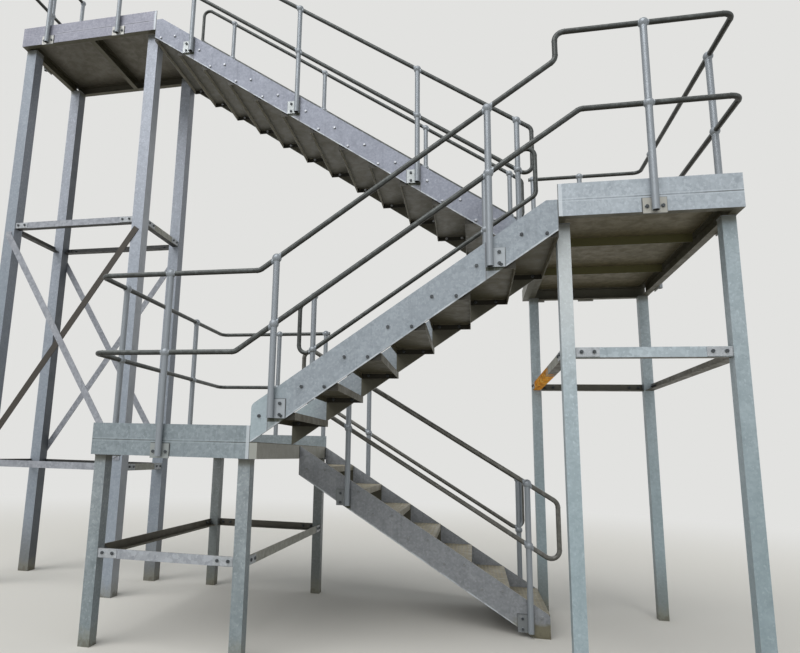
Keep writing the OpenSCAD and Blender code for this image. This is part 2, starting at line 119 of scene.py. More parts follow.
# node: (axis the rail runs along, the face its plates are on, outward way, deck level, standards)
LANDING_RAILS = {
    "low_front_rail": ("x", 0, -1, LOW_Z, (-605,)),
    "low_back_rail": ("x", DEPTH, 1, LOW_Z, (-517, -40)),
    "low_side_rail": ("y", LOW_X0, -1, LOW_Z, (DEPTH * 0.145, DEPTH * 0.715)),
    "mid_front_rail": ("x", 0, -1, MID_Z, (MID_X0 + 530,)),
    "mid_back_rail": ("x", DEPTH, 1, MID_Z, (MID_X0 + 80, MID_X0 + 500)),
    "mid_side_rail": ("y", MID_X1, 1, MID_Z, (DEPTH * 0.186, DEPTH * 0.837)),
    "top_front_rail": ("x", BACK_Y, -1, TOP_Z, (TOP_X0 + 300, TOP_X0 + 1095)),
    "top_side_rail": ("y", TOP_X0, -1, TOP_Z, (BACK_Y + LANE_W * 0.43, DEPTH - 60)),
}
# A landing: its ends, its front, its posts' front and back faces and width, its level and rings of braces
Tower = namedtuple("Tower", "name x0 x1 front y0 y1 w deck rings")
TOWERS = [
    Tower("low", LOW_X0, 0, 0, 45, DEPTH - WALL_RECESS, 80, LOW_Z, (540,)),
    Tower("mid", MID_X0, MID_X1, 0, 125, DEPTH - WALL_RECESS, 76, MID_Z, (1840,)),
    Tower("top", TOP_X0, TOP_X1, BACK_Y, BACK_Y + 75, DEPTH - WALL_RECESS, 110, TOP_Z, (1040, 3320)),
]


def brace_in(tower):
    """How far the braces lie inside their posts' faces."""
    return min(12, (tower.w - BRACE_W) / 2)


# Tones, named by where they are met in daylight
def srgb(r, g, b):
    """A colour written as the eye sees it, 0 to 255, turned into the linear one that shaders use."""
    parts = [c / 255 for c in (r, g, b)]
    return tuple(c / 12.92 if c <= 0.04045 else ((c + 0.055) / 1.055) ** 2.4 for c in parts) + (1.0,)


def shades(r, g, b, spread=36):
    """A tone of zinc, with its paler and its darker one."""
    return [srgb(*[min(255, c + step) for c in (r, g, b)]) for step in (0, spread, -spread)]


ZINC_PALE, ZINC_CLEAN, UPRIGHT = srgb(198, 204, 209), srgb(176, 194, 198), srgb(142, 148, 154)
# The tone for faces that look down is grime and painted shade; LIP, for those that look up, is a painted highlight
SOOT_AND_SHADE, TAN, LIP, WORN_TREAD = srgb(76, 72, 56), srgb(158, 148, 124), srgb(168, 166, 154), srgb(136, 130, 112)
# Under steps and decks the grime tone is also painted shade
GRIME_AND_SHADE, MUD, SPLASH, SEAM = srgb(76, 72, 55), srgb(84, 78, 60), srgb(128, 124, 104), srgb(74, 76, 74)
# The moss tone, right under a fixing plate, is also its painted shadow
SHADOW_AND_MOSS, MOSSY_FOOT, STAIN, STREAK = srgb(50, 53, 35), srgb(96, 88, 56), srgb(118, 116, 106), srgb(112, 112, 116)
# The outline tone is dark joints and, about fixing plates, grime and painted shadow
OUTLINE, WASHER_BELOW = srgb(92, 95, 96), srgb(110, 110, 102)
RUST, RUST_DARK, RUST_PALE = srgb(250, 170, 44), srgb(184, 104, 34), srgb(255, 212, 110)
RAIL = [srgb(66, 69, 68), srgb(128, 134, 134), srgb(42, 42, 38)]
RAIL_LOW = [srgb(94, 93, 88), srgb(150, 150, 146), srgb(58, 56, 50)]
BOLT, BOLT_PALE, BOLT_DARK = srgb(62, 66, 70), srgb(104, 108, 110), srgb(40, 42, 42)
GRIP, GRIP_TOP = [srgb(150, 141, 118), srgb(186, 180, 160), srgb(92, 84, 64)], srgb(174, 165, 142)
MOUTH = [srgb(26, 26, 24), srgb(40, 40, 36), srgb(18, 18, 16), srgb(20, 20, 18), srgb(26, 26, 24)]
BACKDROP, FLOOR, SKY = srgb(226, 226, 224), srgb(214, 211, 204), (0.93, 0.97, 1.0, 1.0)

# Tones of the parts, as r, g, b where their paler and darker ones are made from them
# Their tones also carry painted light and shade, darker or lighter from level to level
STRINGER_TONES = {"ground": (130, 133, 137), "middle": (139, 147, 154), "upper": (134, 138, 150)}
# Under the treads: grime and painted shade
UNDER_TREADS = {"ground": GRIME_AND_SHADE, "middle": GRIME_AND_SHADE, "upper": srgb(107, 106, 101)}
# The folds' tone is painted light
TREAD_TONE, TREAD_FOLD, TREAD_END = (122, 117, 100), srgb(190, 186, 172), srgb(34, 32, 25)
PLATE_TONES = {"low": (130, 140, 145), "mid": (158, 166, 173), "top": (134, 135, 147)}
# The top landing's cross beams are darker: painted shade
FRAME_TONES = {"low": (134, 133, 124), "mid": (134, 133, 124), "top": (92, 90, 80)}
RIB, BEARER_TONE, BEARER_END = srgb(100, 97, 62), (140, 139, 131), srgb(154, 156, 150)
# Under the decks: grime and painted shade
DECK_TONE, DECK_BELOW = (104, 100, 84), {"low": GRIME_AND_SHADE, "mid": srgb(102, 94, 70), "top": srgb(98, 94, 84)}
POST_TONES = {"low": (138, 146, 150), "mid": (166, 178, 184), "top": (158, 163, 173)}
# Painted shade on the posts' sides, and algae with painted shade at their heads
POST_FLANK, POST_HEAD = srgb(88, 92, 98), srgb(100, 98, 84)
BRACE_TONES = {"low": (154, 158, 164), "mid": (160, 171, 177), "top": (144, 147, 154)}
SIDE_BRACE_TONES = {"low": (140, 140, 132), "mid": (122, 122, 110), "top": (140, 140, 132)}
# Painted shade on the braces' faces that look into the tower
BRACE_SHADE = {"low": srgb(78, 73, 60), "mid": srgb(78, 73, 60), "top": srgb(30, 28, 23)}
DARK_BAR = srgb(66, 62, 57)
# Single posts: the middle landing's front left and front right, the top one's front left, back left, front right
MID_LEFT, MID_RIGHT = srgb(206, 207, 205), srgb(98, 112, 116)
# The top one's back left post has painted shade on its sides, its front right one painted light
TOP_LEFT, TOP_BACK, TOP_RIGHT = srgb(110, 122, 130), srgb(66, 70, 74), srgb(164, 168, 174)
# Fixing plates of each flight, and of the landing at each level
FOOT_TONES = {"ground": srgb(122, 126, 128), "middle": srgb(160, 166, 171), "upper": srgb(172, 177, 178),
              LOW_Z: srgb(148, 153, 152), MID_Z: srgb(164, 163, 156), TOP_Z: srgb(170, 170, 166)}


# Node trees
class Tree:
    """Builds a node tree. Any input may be a value or another node's socket."""

    def __init__(self, owner):
        owner.use_nodes = True
        self.tree = owner.node_tree
        self.tree.nodes.clear()

    def add(self, kind, inputs=(), **settings):
        node = self.tree.nodes.new(kind)
        for key, value in settings.items():
            setattr(node, key, value)
        for key, value in dict(inputs).items():
            if isinstance(value, bpy.types.NodeSocket):
                self.tree.links.new(value, node.inputs[key])
            else:
                node.inputs[key].default_value = value
        return node

    def math(self, operation, a, b=0.0):
        return self.add("ShaderNodeMath", {0: a, 1: b}, operation=operation).outputs[0]

    def plus(self, a, b):
        return self.math("ADD", a, b)

    def minus(self, a, b):
        return self.math("SUBTRACT", a, b)

    def times(self, a, b):
        return self.math("MULTIPLY", a, b)

    def absolute(self, a):
        return self.math("ABSOLUTE", a)

    def ease(self, value, low, high, to_low=0.0, to_high=1.0):
        """Goes smoothly from to_low, where value is low, to to_high, where it is high."""
        wanted = {"Value": value, "From Min": low, "From Max": high, "To Min": to_low, "To Max": to_high}
        return self.add("ShaderNodeMapRange", wanted, interpolation_type="SMOOTHSTEP").outputs[0]

    def mix(self, share, a, b):
        return self.add("ShaderNodeMix", {0: share, 6: a, 7: b}, data_type="RGBA").outputs[2]

    def axes(self, vector):
        return self.add("ShaderNodeSeparateXYZ", {0: vector}).outputs

    def backdrop_seen(self):
        """1 for a ray that shows the backdrop: the camera's own, or one off or through a surface."""
        path = self.add("ShaderNodeLightPath").outputs
        seen = self.math("MAXIMUM", path["Is Camera Ray"], path["Is Glossy Ray"])
        return self.math("MAXIMUM", seen, path["Is Transmission Ray"])


class Shader(Tree):
    """Builds one material."""

    def __init__(self, name):
        self.mat = bpy.data.materials.new(name)
        super().__init__(self.mat)
        self.place = self.add("ShaderNodeTexCoord").outputs["Object"]
        self.x, self.y, self.z = self.axes(self.place)[:3]
        normal = self.add("ShaderNodeNewGeometry").outputs["Normal"]
        self.facing_x, self.facing_y, self.facing_z = self.axes(normal)[:3]

    def along(self, axis):
        return {"x": self.x, "y": self.y}[axis]

    def facing(self, axis):
        return {"x": self.facing_x, "y": self.facing_y}[axis]

    def over_slope(self, slope):
        """The height over a line that rises by slope along x, and passes the origin."""
        return self.minus(self.z, self.times(self.x, slope))

    def noise(self, scale, detail=4.0, rough=0.6, stretch=None, warp=0.0):
        place = self.place
        if stretch:
            place = self.add("ShaderNodeMapping", {"Vector": place, "Scale": stretch}).outputs[0]
        wanted = {"Vector": place, "Scale": scale, "Detail": detail, "Roughness": rough, "Distortion": warp}
        return self.add("ShaderNodeTexNoise", wanted).outputs[0]

    def cells(self, scale):
        """One random value for each crystal of the zinc, whose outlines are a little ragged."""
        ragged = self.add("ShaderNodeTexNoise", {"Vector": self.place, "Scale": scale * 1.4}).outputs[1]
        push = self.add("ShaderNodeVectorMath", {0: ragged, "Scale": 0.7 / scale}, operation="SCALE")
        moved = self.add("ShaderNodeVectorMath", {0: self.place, 1: push.outputs[0]}, operation="ADD")
        cell = self.add("ShaderNodeTexVoronoi", {"Vector": moved.outputs[0], "Scale": scale})
        return self.add("ShaderNodeSeparateColor", {0: cell.outputs["Color"]}).outputs[0]

    def within(self, *spans, soft=0.003):
        """1 where each value lies between its two limits, fading out over soft beyond them."""
        off = None
        for value, low, high in spans:
            past = self.minus(self.absolute(self.minus(value, (low + high) / 2)), (high - low) / 2)
            off = past if off is None else self.math("MAXIMUM", off, past)
        return self.ease(off, soft, 0.0)

    def finish(self, colour, rough, metal, height, gloss):
        bump = self.add("ShaderNodeBump", {"Height": height, "Strength": 0.15, "Distance": 0.001})
        wanted = {"Base Color": colour, "Roughness": rough, "Metallic": metal, "Normal": bump.outputs[0],
                  "Specular IOR Level": gloss}
        shader = self.add("ShaderNodeBsdfPrincipled", wanted)
        self.add("ShaderNodeOutputMaterial", {0: shader.outputs[0]})
        return self.mat


def galvanised(name, face, pale, dark, under, top, spangle=0.35, crystal=45, runs=0.35, bloom=0.4,
               specks=0.0, metal=0.3, rough=0.5, splash=False, rust=None, seam=None, marks=(), worn=0.35):
    """Weathered zinc: crystals, chalky bloom, runs down upright faces, wear, grime and painted highlight above,
    grime and painted shade below.

    spangle, runs, bloom, specks and worn are the largest shares of a tone. Each mark is a tone with a
    function that gives its share at a place. A seam is the level of the joint between two plates, in mm."""
    s = Shader(name)
    cell = s.cells(crystal)
    cloud, patch, fine = s.noise(2.3, 4), s.noise(13, 6, 0.65, warp=0.4), s.noise(170, 3, 0.7)
    run = s.noise(1.0, 5, 0.6, stretch=(30, 30, 1.7))
    # Crystals, chalk and runs
    colour = s.mix(s.ease(cell, 0.45, 0.95, 0, spangle), face, pale)
    colour = s.mix(s.ease(cell, 0.0, 0.35, spangle * 0.8, 0), colour, dark)
    chalk = s.times(s.ease(patch, 0.46, 0.72, 0, bloom), s.ease(cloud, 0.35, 0.7, 0.3, 1))
    colour = s.mix(chalk, colour, pale)
    colour = s.mix(s.ease(patch, 0.30, 0.46, bloom * 0.7, 0), colour, dark)
    colour = s.mix(s.ease(run, 0.54, 0.72, 0, runs), colour, dark)
    colour = s.mix(s.ease(run, 0.28, 0.44, runs * 0.6, 0), colour, pale)
    if specks:
        speck = s.noise(75, 2, 0.5, stretch=(1, 1, 0.6))
        colour = s.mix(s.ease(speck, 0.60, 0.72, 0, specks), colour, pale)
    # Faces that look up: wear, grime and, where the tone is pale, a painted highlight; faces that look down: grime
    # and painted shade
    above = s.times(s.ease(s.facing_z, 0.45, 0.9), s.ease(patch, 0.25, 0.6, 0.75, 1))
    colour = s.mix(above, colour, s.mix(s.ease(patch, 0.4, 0.65), top, s.mix(worn, top, dark)))
    below = s.times(s.ease(s.facing_z, -0.35, -0.8), s.ease(cloud, 0.2, 0.6, 0.85, 1))
    colour = s.mix(below, colour, s.mix(s.ease(patch, 0.35, 0.65), under, s.mix(0.4, under, dark)))
    if seam:
        # Dirt has settled in the joint, between two pale lines
        off = s.absolute(s.minus(s.z, seam / 1000))
        line = s.times(s.ease(off, 0.004, 0.0015), s.ease(cloud, 0.36, 0.6, 0.15, 0.8))
        colour = s.mix(line, colour, SEAM)
        colour = s.mix(s.ease(s.absolute(s.minus(off, 0.008)), 0.005, 0.0, 0, 0.4), colour, pale)
    for tone, share in marks:
        colour = s.mix(share(s), colour, tone)
    if splash:
        # Earth that rain has thrown up from the ground
        low = s.plus(s.z, s.ease(patch, 0.3, 0.7, 0.04, -0.04))
        colour = s.mix(s.ease(low, 0.16, 0.02, 0, 0.45), colour, SPLASH)
        colour = s.mix(s.ease(low, 0.05, 0.0, 0, 0.5), colour, MUD)
    roughness, gloss = s.ease(patch, 0.3, 0.7, rough - 0.09, rough + 0.12), 0.5
    if rust:
        gone = rust(s)
        scale = s.mix(s.ease(s.noise(30, 4), 0.40, 0.62), RUST, RUST_DARK)
        scale = s.mix(s.ease(s.noise(22, 3), 0.50, 0.62, 0, 0.75), scale, RUST_PALE)
        colour = s.mix(gone, colour, scale)
        metal, gloss = s.ease(gone, 0, 1, metal, 0.0), s.ease(gone, 0, 1, 0.5, 0.1)
        roughness = s.math("MAXIMUM", roughness, s.times(gone, 0.9))
    height = s.plus(s.times(cell, 0.35), s.plus(fine, s.times(patch, 1.2)))
    return s.finish(colour, roughness, metal, height, gloss)


def use(material, *names):
    """Gives CAD nodes a material."""
    for name in names:
        slots = nodes[name].material_slots
        for slot in slots:
            slot.material = material
        if not slots:
            nodes[name].data.materials.append(material)


# Marks: each function returns the one that gives a mark's share at a place
# The share of painted shade under steps and decks and inside the towers, and a height over the whole tower in mm
SHADE_SHARE, ANY_HEIGHT = 0.92, 9000


def shade_below(flight):
    """Grime and painted shade under a flight's steps: the rest of each tread, and the stringers' inner faces there.
    """
    f = FLIGHTS[flight]
    foot, half = f.point(0, f.y0 + LANE_W / 2, 0), LANE_W / 2000 - 0.005

    def share(s):
        along = s.times(s.minus(s.x, foot[0]), f.way * 1000 / GOING)
        top = s.times(s.math("CEIL", along), f.riser / 1000)
        below = s.minus(s.plus(top, foot[2]), s.z)
        inner = s.within((s.y, foot[1] - half, foot[1] + half), soft=0.002)
        # Only the upper flight gets it also on the folds that look towards its lower end
        front = 1.0 if flight == "upper" else s.ease(s.times(s.facing_x, -f.way), 0.7, 0.3)
        return s.times(s.times(s.ease(below, 0.004, 0.014, 0, SHADE_SHARE), inner), front)
    return share


def fold_faces(flight):
    """The folds of a flight's treads that look towards its lower end: painted light, paler than the shade around
    them.
    """
    whole, way = shade_below(flight), FLIGHTS[flight].way
    return lambda s: s.times(whole(s), s.ease(s.times(s.facing_x, -way), 0.5, 0.8))


def tread_ends(flight):
    """The shade on the ends of a flight's treads, which hang below its sides."""
    whole = shade_below(flight)
    return lambda s: s.times(whole(s), s.ease(s.absolute(s.facing_y), 0.5, 0.8))


def shade_inside(low, high):
    """Painted shade on faces that lie inside a box between two corners in mm."""
    a, b = at(*low), at(*high)
    return lambda s: s.times(s.within((s.x, a[0], b[0]), (s.y, a[1], b[1]), (s.z, a[2], b[2]), soft=0.002), SHADE_SHARE)


def patch_on(axis, face, low, high, strength, soft, ragged=0.0):
    """A mark on a face that runs along an axis, between two corners: (along, up) in mm."""
    across = crossing(axis)
    place = metres(across, face)

    def share(s):
        spot = s.within((s.along(across), place - 0.003, place + 0.003),
                        (s.along(axis), metres(axis, low[0]), metres(axis, high[0])),
                        (s.z, metres("z", low[1]), metres("z", high[1])), soft=soft / 1000)
        if ragged:
            torn = s.noise(1, 4, 0.6, stretch=(55, 55, 7))
            spot = s.times(spot, s.ease(torn, 0.3, 0.62, 1 - ragged, 1))
        return s.times(spot, strength)
    return share


def on_post(x, y, w, front, strength):
    """A mark on the front of one post, or else on its two sides, as strong as strength(s)."""
    a, b = at(x, y, 0), at(x + w, y + w, 0)

    def share(s):
        post = s.within((s.x, a[0] - 0.02, b[0] + 0.02), (s.y, a[1] - 0.02, b[1] + 0.02))
        face = s.times(s.facing_y, -1.0) if front else s.absolute(s.facing_x)
        return s.times(s.times(post, s.ease(face, 0.5, 0.8)), strength(s))
    return share


def plates_of(face, side, axis, slope, level):
    """A rail's fixing plates: what lies close to the face they are bolted to, below a line."""
    across = crossing(axis)
    middle = metres(across, face + side * FOOT_T / 2)

    def share(s):
        flat = s.within((s.along(across), middle - 0.0046, middle + 0.0046), soft=0.0005)
        return s.times(flat, s.ease(s.over_slope(slope), level + 0.002, level - 0.002))
    return share


def edges_of(face, side, axis, slope, level):
    """The same plates' dark edges: grime and painted shade."""
    whole = plates_of(face, side, axis, slope, level)
    return lambda s: s.times(whole(s), s.ease(s.absolute(s.facing(crossing(axis))), 0.6, 0.4, 0, 0.85))


def standards_of(axis, places, slope, level):
    """What is light on a rail node: its standards with their balls, and all that is below a line."""
    half = (BALL_R + 0.5) / 1000

    def share(s):
        total = 0.0
        for place in places:
            off = s.absolute(s.minus(s.along(axis), place))
            total = s.plus(total, s.ease(off, half + 0.002, half - 0.002))
        low = s.ease(s.over_slope(slope), level + 0.01, level - 0.01)
        return s.math("MINIMUM", s.plus(total, low), 1.0)
    return share


def lower_lip(flight):
    """A painted highlight: the pale line along the lower edge of a flight's sides."""
    f = FLIGHTS[flight]
    foot = f.point(0, 0, 0)
    above = GROUND_ABOVE if flight == "ground" else STRINGER_ABOVE
    edge = (f.riser - (STRINGER_W * math.hypot(1, f.riser / GOING) - above)) / 1000

    def share(s):
        slope = s.times(s.minus(s.x, foot[0]), f.way * f.riser / GOING)
        off = s.minus(s.minus(s.z, foot[2]), slope)
        line = s.within((off, edge - 0.01, edge + 0.007), soft=0.006)
        return s.times(line, s.ease(s.noise(9, 3), 0.35, 0.6, 0.1, 0.75))
    return share


def mossy_foot(s):
    """Moss and mud that have crept up the foot of the ground flight."""
    return s.ease(s.plus(s.z, s.ease(s.noise(13, 4), 0.3, 0.7, -0.012, 0.012)), 0.1, 0.075, 0, 0.75)


def clean_foot(flight):
    """The paler lower end of a flight."""
    f = FLIGHTS[flight]
    return lambda s: s.ease(s.times(s.minus(s.x, metres("x", f.x)), f.way), 0.3, 0.05, 0, 0.4)


# Grime and painted shadow about a flight's fixing plate, which reaches from -21 to 89 mm past its standard's
# middle and up from 0: from and to along the flight, from and to upward, tone, strength, softness, raggedness
PLATE_DIRT_AND_SHADOW = (
    (-18, 78, -190, 0, STAIN, 0.3, 10, 0.7),
    (-26, -21, -170, 210, STREAK, 0.7, 3, 0.3),
    (-23, 92, -4, FLIGHT_FOOT_H + 3, OUTLINE, 0.9, 2.5, 0),
    (-24, 92, -20, 0, SHADOW_AND_MOSS, 0.95, 3, 0.2),
)


def flight_marks(flight, side):
    """Marks about each fixing plate on a flight's side: its outline, grime and painted shadow; moss and painted
    shadow right under it; and runs.
    """
    treads, drop = next((t, d) for name, way, t, d in FLIGHT_RAILS.values() if (name, way) == (flight, side))
    f = FLIGHTS[flight]
    marks = []
    for u in map(tread_middle, treads):
        h = f.z + f.nosing(u) - drop - FLIGHT_FOOT_DROP
        for a, b, low, high, tone, strength, soft, ragged in PLATE_DIRT_AND_SHADOW:
            x0, x1 = f.span(u + a, u + b)
            marks.append((tone, patch_on("x", f.face(side), (x0, h + low), (x1, h + high), strength, soft, ragged)))
    return marks


def dress_flight(flight):
    """A flight's stringers and treads."""
    f = FLIGHTS[flight]
    foot = (MOSSY_FOOT, mossy_foot) if flight == "ground" else (ZINC_CLEAN, clean_foot(flight))
    head = f.x + f.way * f.steps * GOING
    for word, side in (("front", -1), ("back", 1)):
        # The joint at the head runs the whole height of the stringer
        joint = patch_on("x", f.face(side), (head - 3, f.z), (head + 3, f.z + ANY_HEIGHT), 0.8, 2)
        name = flight + "_" + word + "_stringer"
        marks = [foot, (ZINC_PALE, lower_lip(flight)), (GRIME_AND_SHADE, shade_below(flight)),
                 *flight_marks(flight, side), (OUTLINE, joint)]
        use(galvanised(name + "_zinc", *shades(*STRINGER_TONES[flight]), SOOT_AND_SHADE, LIP, spangle=0.22, crystal=70,
                       runs=0.25, bloom=0.35, specks=0.25, splash=flight == "ground", marks=marks), name)
    under = UNDER_TREADS[flight]
    # Painted light on the upper flight's folds
    folds = [(TREAD_FOLD, fold_faces(flight))] if flight == "upper" else []
    marks = [(under, shade_below(flight)), *folds, (TREAD_END, tread_ends(flight))]
    use(galvanised(flight + "_tread_zinc", *shades(*TREAD_TONE, 24), under, WORN_TREAD, runs=0.1, spangle=0.15,
                   bloom=0.15, worn=0.15, marks=marks), flight + "_treads")


def under_deck(t):
    """The mark of grime and painted shade between a landing's edges, under its deck."""
    return GRIME_AND_SHADE, shade_inside((t.x0 + 4, t.front + 4, t.deck - 220), (t.x1 - 4, DEPTH - 4, t.deck - 5))


def dress_edges(t):
    """A landing's edge channels and toe plates, with painted shade under the deck, and the fixing plates' outlines
    on them: grime and painted shadow.
    """
    marks = [under_deck(t)]
    half, foot = LANDING_FOOT_W / 2 + 3, t.deck - BEAM_Z - LANDING_FOOT_PAST
    for axis, face, way, level, stands in LANDING_RAILS.values():
        if level != t.deck:
            continue
        for place in stands:
            low, high = (place - half, foot - 4), (place + half, foot + LANDING_FOOT_H + 4)
            marks.append((OUTLINE, patch_on(axis, face, low, high, 0.9, 2.5)))
    # The plates' ends where a flight meets the landing: a pale strip and the dark joint beyond it
    end, way = (t.x0, 1) if t.name == "mid" else (t.x1, -1)
    for a, b, tone, strength in ((3, 24, ZINC_PALE, 0.7), (0, 3, OUTLINE, 0.9)):
        low, high = sorted((end + way * a, end + way * b))
        marks.append((tone, patch_on("x", t.front, (low, t.deck - 120), (high, t.deck + 110), strength, 1.5)))
    use(galvanised(t.name + "_edge_zinc", *shades(*PLATE_TONES[t.name]), SOOT_AND_SHADE, LIP, spangle=0.25, crystal=60,
                   runs=0.25, bloom=0.4, specks=0.35, seam=t.deck - DECK_T, marks=marks),
        t.name + "_long_beams", t.name + "_toe_plates")


def dress_frame(t):
    """A landing's cross beams, bearer and deck."""
    tone, painted_shade = under_deck(t)
    marks = [(tone, painted_shade)]
    if t.name == "mid":
        # A lighter painted shade on the ribs' faces that look to the open side
        marks.append((RIB, lambda s: s.times(painted_shade(s), s.ease(s.facing_y, -0.5, -0.8))))
    use(galvanised(t.name + "_frame_zinc", *shades(*FRAME_TONES[t.name], 24), SOOT_AND_SHADE, TAN, runs=0.1, spangle=0.15,
                   marks=marks), t.name + "_cross_beams")
    if t.name != "top":
        ends = (BEARER_END, lambda s: s.ease(s.facing_y, -0.5, -0.8, 0, 0.9))
        use(galvanised(t.name + "_bearer_zinc", *shades(*BEARER_TONE, 24), SOOT_AND_SHADE, TAN, runs=0.1, spangle=0.15,
                       marks=[ends]), t.name + "_bearer")
    use(galvanised(t.name + "_deck_zinc", *shades(*DECK_TONE), DECK_BELOW[t.name], TAN, runs=0.1, spangle=0.15),
        t.name + "_deck")


def own_marks(t):
    """Marks of single posts: the middle landing's front ones, and the top landing's three in view."""
    left, right, back = t.x0, t.x1 - t.w, t.y1 - t.w
    if t.name == "mid":
        return [(MID_LEFT, on_post(left, t.y0, t.w, True, lambda s: s.ease(s.z, 1.5, 2.3, 0, 0.5))),
                (MID_RIGHT, on_post(right, t.y0, t.w, True, lambda s: 0.24))]
    # The top landing's back left post gets painted shade on its sides, its front right one painted light
    if t.name == "top":
        return [(TOP_LEFT, on_post(left, t.y0, t.w, True, lambda s: 0.4)),
                (TOP_BACK, on_post(left, back, t.w, False, lambda s: 0.75)),
                (TOP_RIGHT, on_post(right, t.y0, t.w, False, lambda s: 0.9))]
    return []


def dress_posts(t):
    """A landing's posts: duller towards the foot, painted shade on their sides, muddy on the side of the wall,
    algae and painted shade at the head.
    """
    head = metres("z", t.deck - BEAM_Z)
    worst = 0.34 if t.name == "low" else 0.5
    side = 0.45 if t.name == "top" else 0.15
    least = 0.3 if t.name == "low" else 0
    r, g, b = POST_TONES[t.name]
    marks = [
        (srgb(r - 36, g - 28, b - 28), lambda s: s.ease(s.z, head * 0.9, head * 0.2, 0, worst)),
        # Painted shade on the sides
        (POST_FLANK, lambda s: s.ease(s.absolute(s.facing_x), 0.5, 0.8, 0, side)),
        (MUD, lambda s: s.times(s.ease(s.y, 0.5, 0.9), s.ease(s.z, 0.6, 0.1, least, 0.5))),
        *own_marks(t),
        # Algae and painted shade at the head, under the beams
        (POST_HEAD, lambda s: s.times(s.within((s.z, head - 0.02, head + 0.1), soft=0.045), 0.7)),
    ]
    use(galvanised(t.name + "_post_zinc", *shades(r, g, b, 40), SOOT_AND_SHADE, LIP, spangle=0.24, crystal=70, runs=0.2,
                   bloom=0.42, specks=0.6, splash=True, marks=marks), t.name + "_posts")


def dark_bar(t):
    """One of the crossed bars on the open side of the top landing's tower is much darker."""
    a = at(t.x0 + POST_INSET + t.w / 2, t.y0 - BAR_T, t.rings[0] + 2 * BRACE_W)
    b = at(t.x1 - POST_INSET - t.w / 2, t.y0, t.rings[1] - BRACE_W)
    slope = (b[2] - a[2]) / (b[0] - a[0])
    level = a[2] - a[0] * slope
    return lambda s: s.times(s.within((s.over_slope(slope), level - 0.06, level + 0.06)),
                             s.within((s.y, a[1] - 0.0005, b[1] + 0.0005), soft=0.0003))


def rusted_end(t):
    """The far end of the middle landing's left brace, where the zinc has gone."""
    def share(s):
        side = s.ease(s.x, metres("x", t.x0 + 150), metres("x", t.x0 + 120))
        ragged = s.plus(s.y, s.ease(s.noise(14, 3), 0.3, 0.7, -0.09, 0.09))
        return s.times(side, s.ease(ragged, -0.14, -0.02))
    return share


def dress_braces(t):
    """The braces between a landing's posts, with painted shade on the faces that look into the tower."""
    back = brace_in(t) + 4
    painted_shade = (BRACE_SHADE[t.name], shade_inside((t.x0 + POST_INSET + back, t.y0 + back, 0),
                                             (t.x1 - POST_INSET - back, t.y1 - back, t.deck)))
    names, marks = [t.name + "_long_braces"], [painted_shade]
    if t.name == "top":
        names.append("top_diagonals")
        marks.append((DARK_BAR, dark_bar(t)))
    use(galvanised(t.name + "_brace_zinc", *shades(*BRACE_TONES[t.name]), SOOT_AND_SHADE, LIP, bloom=0.3, specks=0.3,
                   marks=marks), *names)
    rust = rusted_end(t) if t.name == "mid" else None
    use(galvanised(t.name + "_side_brace_zinc", *shades(*SIDE_BRACE_TONES[t.name]), SOOT_AND_SHADE, LIP, bloom=0.3,
                   marks=[painted_shade], rust=rust), t.name + "_cross_braces")


def dress_rail(name, axis, places, face, side, slope, foot, high, plate, tones=RAIL):
    """Rails go dark with handling and rain, with a painted highlight on top and painted shade below; their
    standards and fixing plates stay light.
    """
    light = standards_of(axis, places, slope, foot + RAILS_FROM / 1000)
    spot = (face, side, axis, slope, foot + high / 1000)
    middling, pale, dark = tones
    # The pale tone on the rails' tops is a painted highlight, the dark one below is painted shade
    use(galvanised(name + "_zinc", middling, pale, dark, dark, pale, spangle=0.15, bloom=0.25, metal=0.4, rough=0.4,
                   marks=[(UPRIGHT, light), (plate, plates_of(*spot)), (OUTLINE, edges_of(*spot))]), name)


for flight in FLIGHTS:
    dress_flight(flight)
for tower in TOWERS:
    dress_edges(tower)
    dress_frame(tower)
    dress_posts(tower)
    dress_braces(tower)
for name, (flight, side, treads, drop) in FLIGHT_RAILS.items():
    f = FLIGHTS[flight]
    places = [f.point(tread_middle(k), 0, 0)[0] for k in treads]
    slope = f.way * f.riser / GOING
    foot = f.point(0, 0, f.riser - drop)
    dress_rail(name, "x", places, f.face(side), side, slope, foot[2] - slope * foot[0], FLIGHT_FOOT_TOP,
               FOOT_TONES[flight], RAIL_LOW if flight == "ground" else RAIL)
for name, (axis, face, way, level, stands) in LANDING_RAILS.items():
    dress_rail(name, axis, [metres(axis, p) for p in stands], face, way, 0.0, level / 1000, LANDING_FOOT_TOP,
               FOOT_TONES[level])

bolt_zinc = galvanised("bolt_zinc", BOLT, BOLT_PALE, BOLT_DARK, BOLT_DARK, BOLT_PALE, crystal=160,
                       metal=0.5, rough=0.45)
washer_zinc = galvanised("washer_zinc", *shades(140, 146, 150), WASHER_BELOW, ZINC_PALE, crystal=160,
                         metal=0.4, rough=0.45)
dusty_zinc = galvanised("dusty_zinc", *shades(128, 130, 132, 24), SOOT_AND_SHADE, LIP, crystal=160, metal=0.3, rough=0.6)
# The pale tone on these bolts' tops is a painted highlight
bright_zinc = galvanised("bright_zinc", *shades(176, 179, 186), WASHER_BELOW, srgb(214, 216, 220), crystal=160,
                         metal=0.4, rough=0.4)
weld_zinc = galvanised("weld_zinc", *shades(128, 133, 137), SOOT_AND_SHADE, LIP, crystal=120)
cleat_zinc = galvanised("cleat_zinc", *shades(164, 168, 172, 30), SOOT_AND_SHADE, LIP, crystal=90, specks=0.3)
grip_zinc = galvanised("grip_zinc", *GRIP, SOOT_AND_SHADE, GRIP_TOP, crystal=90)
# A dark disc in each standard's open end: painted shade for the hollow inside
mouth_dark = galvanised("mouth_dark", *MOUTH, metal=0.0, rough=0.9)


